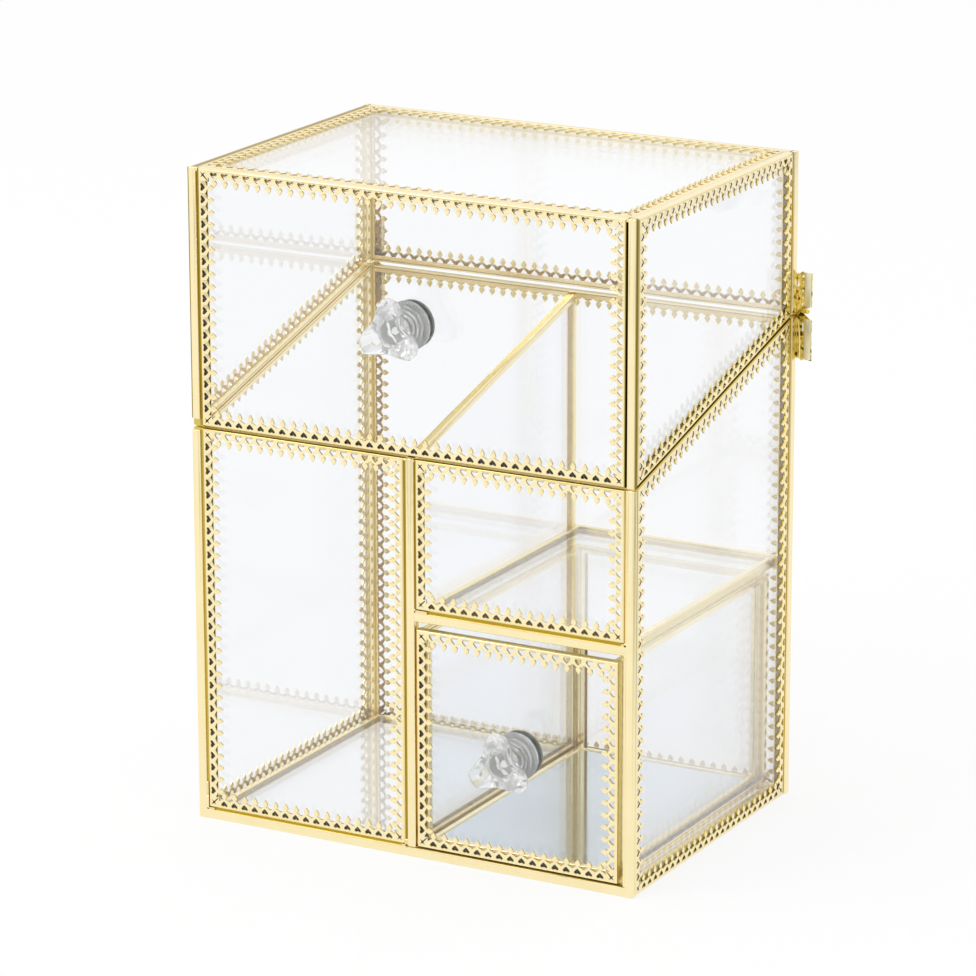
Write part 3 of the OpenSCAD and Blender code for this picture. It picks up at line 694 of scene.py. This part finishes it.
def front_corner(body, hand, low, high):
    """The strip over a front corner, a shim where it stops short of the joint, and the groove
    beside it. Both hands are made here as on the right."""
    short = short_of_joint.get(f"{body}_{hand}", 0.0)
    dark = groove_dark[f"{body}_{hand}"]
    bar, gap = (low, high - short), (high - short - 0.2, high)
    if body == "lid":
        bar, gap = (low + short, high), (low, low + short + 0.2)
    # painted shade: none on the strip's face, the rounding's on its corner and recess, 0.3 on the shim
    parts = [beam(front_section, *bar, bright_face + rounding[body])]
    if short:
        parts.append(beam(shim, *gap, 0.3))
    if body == "lid":
        parts += grooved(*GROOVE_X, low + 0.3, high, POST_FILLET, 0, 1.5, dark)
    elif hand == "right":
        parts += grooved(*GROOVE_X, SHELF_TOP, high - 0.3, POST_FILLET, 0.8, 0, dark)
        parts.append(beam(crowned(109.7, 110.7, -HALF_D, STRIP_BACK, 0.05), STRIP_W, SHELF_Z,
                          bright_face + [0, 0, 0.3]))
    else:
        parts += grooved(*GROOVE_X, STRIP_W + SOLDER, high - 0.3, POST_FILLET, SOLDER + 1.0, 0, dark)
        parts.append(beam(block(*GROOVE_X, POST_FILLET, STRIP_BACK), STRIP_W, STRIP_W + SOLDER))
    foot = low if body == "lid" else SHELF_TOP
    # the key behind the strip, with 0.3 of painted shade
    parts.append(beam(block(FRONT_X, WALL_X, STRIP_BACK, -WALL_Y), foot, high, 0.3))
    return gathered(parts)


def back_corner(low, high):
    """The strip over a back corner as on the right, and what shows in the gaps beside it, dark
    with painted shade.
    """
    return gathered([
        laid(beam(back_section, low, high), QUARTER),
        beam(block(112.6, 113.8, 76.4, 77.6), low, high, 0.85),
        beam(block(112.2, 112.9, 77.2, 81.0), low, high, 0.7),
        beam(block(WALL_X, 112.9, SIDE_BACK, 77.6), low, high, 0.3)])


for body, low, high, low_behind, high_behind in (
        ("lid", lid_z, TOP, lid_edge(WALL_Y + PANE_T), TOP), ("base", 0.0, base_z, 0.0, base_edge(WALL_Y))):
    corners = {("front", hand): front_corner(body, hand, low, high) for hand in ("right", "left")}
    corners |= {("back", hand): back_corner(low_behind, high_behind) for hand in ("right", "left")}
    for (end, hand), part in corners.items():
        lay_mesh(f"{body}_{end}_{hand}_strip", part if hand == "right" else mirrored(part, LEFT_HAND),
                 f"{body}_{end}_{hand}_post", brass)

# A rail is the same strip lying along x: across it is z, and its length runs towards -x
LYING = ((0, 0, 1), (0, 1, 0), (-1, 0, 0))
# Where the rails end under the corner strips, and the middle strip's two edges
RAIL_END, MIDDLE_LEFT, MIDDLE_RIGHT = 110.8, -1.7, 2.5


def rail(low, high, left, right):
    """A strip across the front, from low to high and left to right."""
    return laid(beam(crowned(low, high, -HALF_D, STRIP_BACK), -right, -left), LYING)


def rail_groove(low, high, left, right, open_left, open_right):
    """The groove over a rail, with its solder at the left and right end."""
    parts = grooved(low, high, -right, -left, RAIL_FILLET, open_right, open_left, 0.45)
    return [laid(part, LYING) for part in parts]


def middle_groove(left, right, low, open_low):
    """A groove beside the middle strip, with its solder at both ends."""
    return grooved(left, right, low, base_z - 0.3, POST_FILLET, open_low, 0.8)


front_rail = [rail(0, 4.5, -RAIL_END, RAIL_END)]
front_rail += rail_groove(4.4, STRIP_W + GROOVE, -FRONT_X, -MIDDLE_X, 3.0, 2.0)
# the strip between the rail and the groove over it, and that groove, carry painted shade
front_rail.append(laid(beam(block(4.4, STRIP_W, -81.2, STRIP_BACK), -FRONT_X, -MIDDLE_X, 0.7), LYING))
shelf_rail = [rail(SHELF_Z, 118.3, MIDDLE_RIGHT, RAIL_END)]
shelf_rail += rail_groove(118.2, SHELF_TOP + GROOVE, MIDDLE_X, FRONT_X, 6.0, 1.5)
middle_post = [beam(crowned(MIDDLE_LEFT, MIDDLE_RIGHT, -HALF_D, STRIP_BACK), STRIP_W, base_z)]
middle_post += middle_groove(-MIDDLE_X, MIDDLE_LEFT + 0.1, STRIP_W + GROOVE, 2.5)
middle_post += middle_groove(MIDDLE_RIGHT - 0.1, MIDDLE_X, SHELF_TOP, 1.0)
for name, replaced, parts in (("base_front_strip", "base_front_rail", front_rail),
                              ("shelf_front_strip", "shelf_front_rail", shelf_rail),
                              ("base_middle_strip", "base_middle_post", middle_post)):
    lay_mesh(name, gathered(parts), replaced, brass)

# ---------------------------------------------------------------------------------------
# Hinges: cast brass leaves across both back corners. Beside a plain outer band, painted paler
# as a highlight, each wing is openwork, scrolls and leaves with the ground between them dark
# with painted shade, round a polished barrel.
# ---------------------------------------------------------------------------------------

# The middle of the right hinge's barrel
PIN_X, PIN_Y = 114.5, 84.1
PIN_Z = joint_height(PIN_Y)


def cast_finish(name):
    """Cast and tumbled brass: gold on what stands proud and olive-black painted shade in the
    hollows of its small relief, both from one noise whose cells are about 2 mm wide."""
    made, cast = blank_finish(name)
    place = cast.node("ShaderNodeTexCoord", output="Object")
    cells = cast.node("ShaderNodeTexNoise", sockets={"Vector": place, "Scale": 330.0, "Detail": 1.5})
    tone = cast.node("ShaderNodeValToRGB", {"stops": [
        (0.38, (0.09, 0.07, 0.01, 1)), (0.45, (0.78, 0.59, 0.1, 1)),
        (0.6, (1.0, 0.85, 0.32, 1))]}, {0: cells})
    relief = cast.node("ShaderNodeBump", sockets={"Strength": 0.5, "Distance": 0.0006, "Height": cells})
    principled(cast, {"Base Color": tone, "Metallic": 1.0, "Roughness": cells * -0.25 + 0.34,
                      "Normal": relief})
    return made


scroll_brass = brass_finish("polished_hinge_brass", (1.0, 0.82, 0.3), 0.12, (0.97, 0.9, 0.7), 300.0)
# The band's paler colour is a painted highlight: a lighter copy of the plate brass
painted_highlight_brass = brass_finish("brushed_hinge_band", (1.0, 0.95, 0.72), 0.28, (0.98, 0.95, 0.9), 300.0)
ground_brass = cast_finish("cast_hinge_ground")
refinish("upper_hinge_leaves", ground_brass)
refinish("lower_hinge_leaves", ground_brass)
refinish("hinge_pins", scroll_brass)


def swept(path, radius, sides=7):
    """A wire along a flat path (a, b): at each point a ring of the radius stands across the
    path, its centre moved by radius * (cos * across + sin * up), and both ends run to a point."""
    path = np.array(path, float)
    thick = np.broadcast_to(radius, len(path)).copy()
    thick[[0, -1]] *= 0.05
    along = np.gradient(path, axis=0)
    along /= np.linalg.norm(along, axis=1)[:, None]
    across = np.stack([along[:, 1], -along[:, 0]], 1)
    turn = np.arange(sides) * 2 * np.pi / sides
    flat = path[:, None] + across[:, None] * (thick[:, None] * np.cos(turn))[..., None]
    points = np.concatenate([flat, (thick[:, None] * np.sin(turn))[..., None]], 2)
    faces = skin(len(path), sides)
    return points.reshape(-1, 3), faces, [np.zeros(len(alike)) for alike in faces]


def volute(a, b, start, turns, outer, inner, stem):
    """A scroll: a stem, then a spiral about (a, b) whose radius shrinks from outer to inner as
    it winds through its turns, clockwise for negative turns."""
    t = np.linspace(0, 1, 22)
    wind = np.radians(start) + 2 * np.pi * turns * t
    reach = outer * (inner / outer) ** t
    curl = np.column_stack([a + reach * np.cos(wind), b + reach * np.sin(wind)])
    return np.concatenate([stem, curl])


def moved(part, shift):
    """A part moved along x, y and z."""
    return part[0] + shift, part[1], part[2]


# The wires of one wing, a path and a radius for each: a outward from the pin, b away from the
# joint. The lower wing's first one is its thick middle rib.
upper_scrolls = [
    (volute(2.3, 15.0, -20, 0.9, 1.5, 0.35, [(0.6, 3.0), (1.0, 6.5), (2.6, 10.5), (3.6, 13.0)]), 0.36),
    (volute(2.1, 9.6, 150, -0.9, 1.3, 0.3, [(1.0, 3.0), (0.5, 5.5), (0.6, 8.0)]), 0.34),
    (volute(2.7, 5.2, 200, 0.85, 1.1, 0.3, [(3.6, 9.5), (2.4, 8.0), (1.5, 6.4)]), 0.32),
    ([(0.2, 10.5), (0.3, 13), (0.5, 15.5), (1.2, 17.6), (2.2, 18.6), (3.2, 19.0), (3.9, 18.3)], 0.3),
    ([(3.8, 2.6), (3.7, 5.0), (3.9, 8.0), (3.8, 11.0), (3.9, 14.5), (3.7, 17.5)], 0.26)]
lower_scrolls = [
    ([(1.2, 2.0), (1.3, 5.0), (1.8, 9.0), (2.2, 14.0), (2.1, 18.0), (2.0, 21.8), (1.9, 22.9)], 0.75),
    (volute(2.7, 4.6, 90, -0.85, 1.2, 0.3, [(0.8, 2.4), (1.4, 4.2), (2.0, 5.4)]), 0.34),
    (volute(2.4, 19.4, 100, 0.8, 1.3, 0.35, [(3.6, 9.0), (3.5, 12.0), (3.3, 15.5), (3.1, 18.6)]), 0.32),
    ([(0.3, 3.0), (0.35, 8.0), (0.5, 13.0), (0.6, 18.0), (1.0, 21.2)], 0.3)]
# The heights of the two layers of wires from a wing's face, and that face's place from the pin
LAYERS, WING_FACE = (-0.25, -0.95), (0, -1.9, 0)
UPSIDE_DOWN = (1, -1, 1)
# The plain band at a wing's outer edge, with a crowned face and a rounded back
BAND_IN, BAND_OUT, BAND_BACK = 4.15, 7.9, -1.15
band_section = np.concatenate([
    crowned(BAND_IN, BAND_OUT, -2.35, -1.7)[:15],
    [(BAND_OUT, -1.6), (6.9, BAND_BACK), (5.1, BAND_BACK), (BAND_IN, -1.6)]])
upper_band = beam(band_section, 2.6, 19.0)
lower_band = beam(band_section, -22.6, -3.2)
for body, scrolls, band in (("lid", upper_scrolls, upper_band), ("base", lower_scrolls, lower_band)):
    wires = gathered([moved(swept(path, radius), (0, 0, layer))
                      for layer in LAYERS for path, radius in scrolls])
    if body == "base":
        wires = mirrored(wires, UPSIDE_DOWN)
    wires = moved(laid(wires, FRONT), WING_FACE)
    for kind, wing, finish in (("scrolls", wires, scroll_brass), ("bands", band, painted_highlight_brass)):
        pair = gathered([moved(one, (side * PIN_X, PIN_Y, PIN_Z))
                         for side in (1, -1) for one in (wing, mirrored(wing, LEFT_HAND))])
        lay_mesh(f"{body}_hinge_{kind}", pair, None, finish, 50)

# ---------------------------------------------------------------------------------------
# Knobs: pressed crystal with three cut lobes on a ringed foot, held through the glass by a
# nickelled screw with a dark rubber washer behind.
# ---------------------------------------------------------------------------------------


def crystal_finish(name):
    """Lead crystal: it refracts most of the light, a bright haze inside it scatters the rest,
    and a long slow ripple in its faces bends it."""
    made, gem = blank_finish(name)
    place = gem.node("ShaderNodeTexCoord", output="Object")
    cloud = gem.node("ShaderNodeTexNoise", sockets={"Vector": place, "Scale": 90.0, "Detail": 2.0})
    ripple = gem.node("ShaderNodeBump", sockets={"Strength": 0.15, "Distance": 0.0004, "Height": cloud})
    tint = gem.node("ShaderNodeMix", {"data_type": "RGBA"},
                    {0: cloud, 6: (1, 1, 1, 1), 7: (0.97, 0.98, 0.98, 1)}, output=2)
    principled(gem, {"Base Color": tint, "Roughness": 0.01, "IOR": 1.5, "Transmission Weight": 0.8,
                     "Normal": ripple})
    return made


def rubber_finish(name):
    """Dark green-grey rubber with a fine moulded grain and a little bloom."""
    made, disc = blank_finish(name)
    place = disc.node("ShaderNodeTexCoord", output="Object")
    bloom = disc.node("ShaderNodeTexNoise", sockets={"Vector": place, "Scale": 300.0, "Detail": 4.0})
    tone = disc.node("ShaderNodeMix", {"data_type": "RGBA"},
                     {0: bloom, 6: (0.13, 0.15, 0.12, 1), 7: (0.22, 0.24, 0.2, 1)}, output=2)
    grain = disc.node("ShaderNodeBump", sockets={"Strength": 0.3, "Distance": 0.0002, "Height": bloom})
    principled(disc, {"Base Color": tone, "Roughness": bloom * 0.3 + 0.4, "Normal": grain})
    return made


# The head's reach, and a lobe with the notch before it as (share of that reach, degrees)
HEAD_R = 15.8
LOBE = np.array([(0.58, -60), (0.8, -26), (0.99, -13), (1.03, 0), (0.99, 13), (0.8, 26)])
# Rings of the foot as (radius, distance from the glass), and of the head as (scale, distance)
FOOT_RINGS = ((10.9, 0.0), (11.5, 0.35), (11.5, 1.3), (10.6, 2.3), (9.4, 2.6), (9.5, 3.5), (9.0, 4.2),
              (8.1, 4.4), (8.2, 5.4), (7.8, 6.1), (7.0, 6.3), (7.1, 7.2), (6.6, 8.0), (5.6, 8.4),
              (5.5, 10.5), (6.4, 12.0))
HEAD_RINGS = ((0.6, 12.7), (0.93, 15.2), (1.0, 17.2), (1.0, 18.8), (0.84, 22.0), (0.45, 23.4))


def cut_knob(turn):
    """A knob in one closed skin: 54 points on each ring. The foot and its turned rings are
    circles of radius r; the head's rings are the outline of three lobes times a scale, and
    straight cuts run between its 18 corners. Returns (across, up, out from the glass)."""
    corner = np.concatenate([np.column_stack([LOBE[:, 0] * HEAD_R, LOBE[:, 1] + start + turn])
                             for start in (90, 210, 330)])
    bearing = np.radians(corner[:, 1])
    flat = corner[:, :1] * np.column_stack([np.cos(bearing), np.sin(bearing)])
    share = np.arange(3)[None, :, None] / 3
    outline = (flat[:, None] * (1 - share) + np.roll(flat, -1, 0)[:, None] * share).reshape(-1, 2)
    angle = np.arctan2(outline[:, 1], outline[:, 0])
    circle = np.column_stack([np.cos(angle), np.sin(angle)])
    rings = [(circle, r, out) for r, out in FOOT_RINGS] + [(outline, r, out) for r, out in HEAD_RINGS]
    points = np.concatenate([np.column_stack([shape * r, np.full(len(outline), out)])
                             for shape, r, out in rings])
    faces = skin(len(rings), len(outline))
    return points, faces, [np.zeros(len(alike)) for alike in faces]


crystal, rubber = crystal_finish("cut_crystal"), rubber_finish("dark_rubber")
screw_steel = brass_finish("nickelled_screw", (0.86, 0.85, 0.82), 0.15, (0.95, 0.95, 0.95), 300.0)
# The outer face of the front glass, and the middle of the drawer's front
GLASS_Y = WALL_Y + BRASS_T + GLASS_T
drawer_x, drawer_z = (DRAWER_LEFT + DRAWER_RIGHT) / 2, (DRAWER_LOW + DRAWER_TOP) / 2
for body, x, z, turn in (("lid", 0, (lid_z + TOP) / 2, -1), ("drawer", drawer_x, drawer_z, 3)):
    points, faces, patina = cut_knob(turn)
    points = np.column_stack([points[:, 0] + x, -GLASS_Y - points[:, 2], points[:, 1] + z])
    lay_mesh(f"{body}_crystal", (points, faces, patina), f"{body}_knob", crystal, 12)
    refinish(f"{body}_knob_screw", screw_steel)
    refinish(f"{body}_knob_washer", rubber)

# ---------------------------------------------------------------------------------------
# The drawer's floor is mirror glass: the same 3 mm sheet, silvered underneath, which gives
# a cool grey picture of what stands on it.
# ---------------------------------------------------------------------------------------

silvered, mirror = blank_finish("silvered_glass")
spread = mirror.node("ShaderNodeTexNoise", sockets={
    "Vector": mirror.node("ShaderNodeTexCoord", output="Object"), "Scale": 18.0, "Detail": 3.0})
cool = mirror.node("ShaderNodeMix", {"data_type": "RGBA"},
                   {0: spread, 6: (0.7, 0.75, 0.78, 1), 7: (0.6, 0.66, 0.7, 1)}, output=2)
wave = mirror.node("ShaderNodeBump", sockets={"Strength": 0.05, "Distance": 0.001, "Height": spread})
principled(mirror, {"Base Color": cool, "Metallic": 1.0, "Roughness": spread * 0.08 + 0.03,
                    "Normal": wave})
refinish("drawer_floor_glass", silvered)

low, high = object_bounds()
